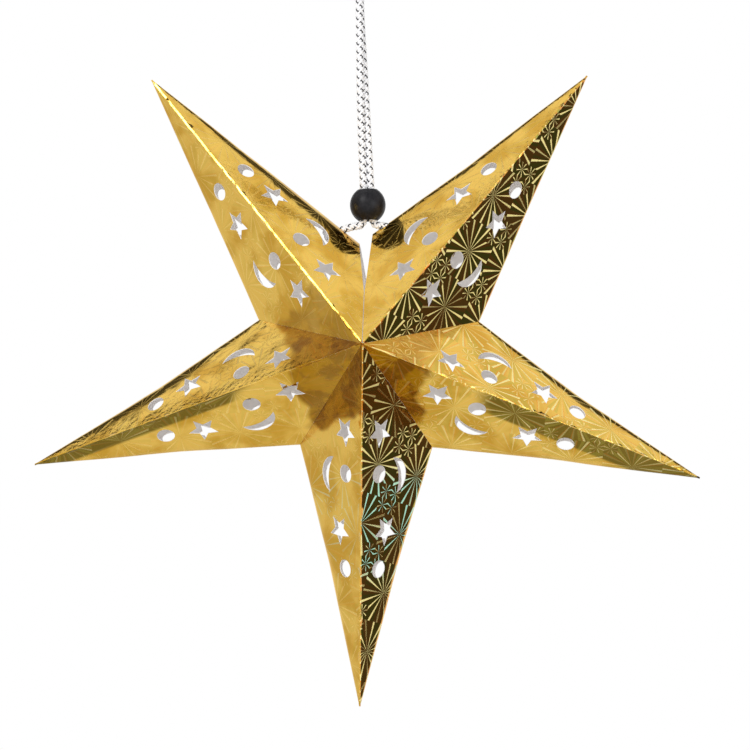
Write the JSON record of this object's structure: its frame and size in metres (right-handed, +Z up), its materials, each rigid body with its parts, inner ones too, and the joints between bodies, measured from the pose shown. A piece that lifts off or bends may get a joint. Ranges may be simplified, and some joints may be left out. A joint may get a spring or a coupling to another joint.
{
  "type": "origami star",
  "caption": "Hanging hollow star of folded foil card, with die-cut stars, moons and circles in its arms and a doubled cord through a sliding stopper bead.",
  "frame": {"origin": "inside top of the cord's hanging loop, where a hook or nail bears", "axes": "+Z up along gravity as the star hangs, -Y out of the star's front, +X to the right seen from the front"},
  "size_m": [0.2982, 0.1024, 0.3513],
  "materials": {
    "foil_card": "gold metallised foil with a faint starburst pattern outside, plain white card inside",
    "cord": "white braided cord with grey flecks",
    "bead": "satin black"
  },
  "bodies": {
    "star": {"upper_left_arm_top_leaf": "foil_card", "upper_left_arm_side_leaf": "foil_card", "left_arm_top_leaf": "foil_card", "left_arm_under_leaf": "foil_card", "bottom_arm_left_leaf": "foil_card", "bottom_arm_right_leaf": "foil_card", "right_arm_under_leaf": "foil_card", "right_arm_top_leaf": "foil_card", "upper_right_arm_side_leaf": "foil_card", "upper_right_arm_top_leaf": "foil_card", "hanging_cord": "cord", "left_cord_knot": "cord", "right_cord_knot": "cord"},
    "bead": {"stopper_bead": "bead"}
  },
  "joints": [
    {"name": "bead_slide", "type": "slide", "parent": "star", "child": "bead", "axis": [-0.0403, 0, 0.9992], "range_m": [0, 0.08]}
  ]
}
